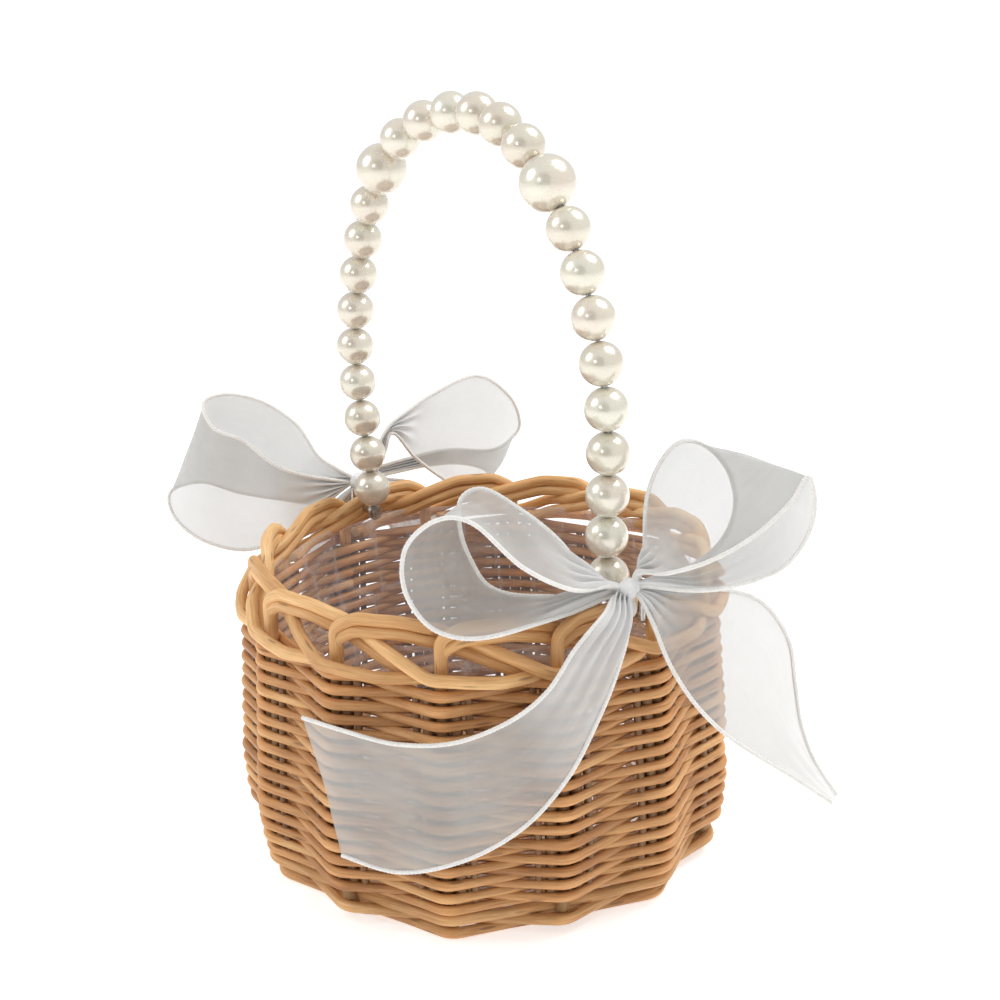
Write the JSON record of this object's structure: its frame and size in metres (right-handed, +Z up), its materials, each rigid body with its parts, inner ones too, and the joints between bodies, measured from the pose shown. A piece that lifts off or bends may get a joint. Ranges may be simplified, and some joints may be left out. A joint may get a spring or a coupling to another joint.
{
  "type": "flower girl basket",
  "caption": "Round woven willow basket with a pearl-strung wire handle, a clear liner and sheer organza bows.",
  "frame": {"origin": "centre of the resting face, on the surface that the basket stands on", "axes": "+X along the span of the handle from the left pivot to the right pivot, +Z up"},
  "size_m": [0.339, 0.229, 0.3309],
  "materials": {
    "willow": "natural peeled willow, warm tan, satin",
    "willow_border": "pale peeled willow rods, satin",
    "film": "clear crinkled plastic film",
    "pearl": "ivory pearlescent gloss",
    "wire": "bright wire",
    "organza": "sheer white organza with corded edges"
  },
  "bodies": {
    "basket": {"base_sticks": "willow_border", "base_weave": "willow", "foot_wale": "willow", "side_weave": "willow", "border_stakes": "willow_border", "liner": "film", "right_staple": "wire", "left_staple": "wire", "right_bow_knot": "organza", "right_bow_tie": "organza", "right_bow_inner_loop": "organza", "right_bow_outer_loop": "organza", "right_bow_inner_tail": "organza", "right_bow_outer_tail": "organza", "left_bow_knot": "organza", "left_bow_tie": "organza", "left_bow_inner_loop": "organza", "left_bow_outer_loop": "organza", "left_bow_inner_tail": "organza", "left_bow_outer_tail": "organza"},
    "handle": {"right_eye": "wire", "left_eye": "wire", "handle_wire": "wire", "pearl_01": "pearl", "pearl_02": "pearl", "pearl_03": "pearl", "pearl_04": "pearl", "pearl_05": "pearl", "pearl_06": "pearl", "pearl_07": "pearl", "pearl_08": "pearl", "pearl_09": "pearl", "pearl_10": "pearl", "pearl_11": "pearl", "pearl_12": "pearl", "pearl_13": "pearl", "pearl_14": "pearl", "pearl_15": "pearl", "pearl_16": "pearl", "pearl_17": "pearl", "pearl_18": "pearl", "pearl_19": "pearl", "pearl_20": "pearl", "pearl_21": "pearl", "pearl_22": "pearl", "pearl_23": "pearl", "pearl_24": "pearl", "pearl_25": "pearl", "pearl_26": "pearl"}
  },
  "joints": [
    {"name": "handle_swing", "type": "hinge", "parent": "basket", "child": "handle", "pos_m": [0, 0, 0.13], "axis": [1, 0, 0], "range_deg": [-25, 20]}
  ]
}
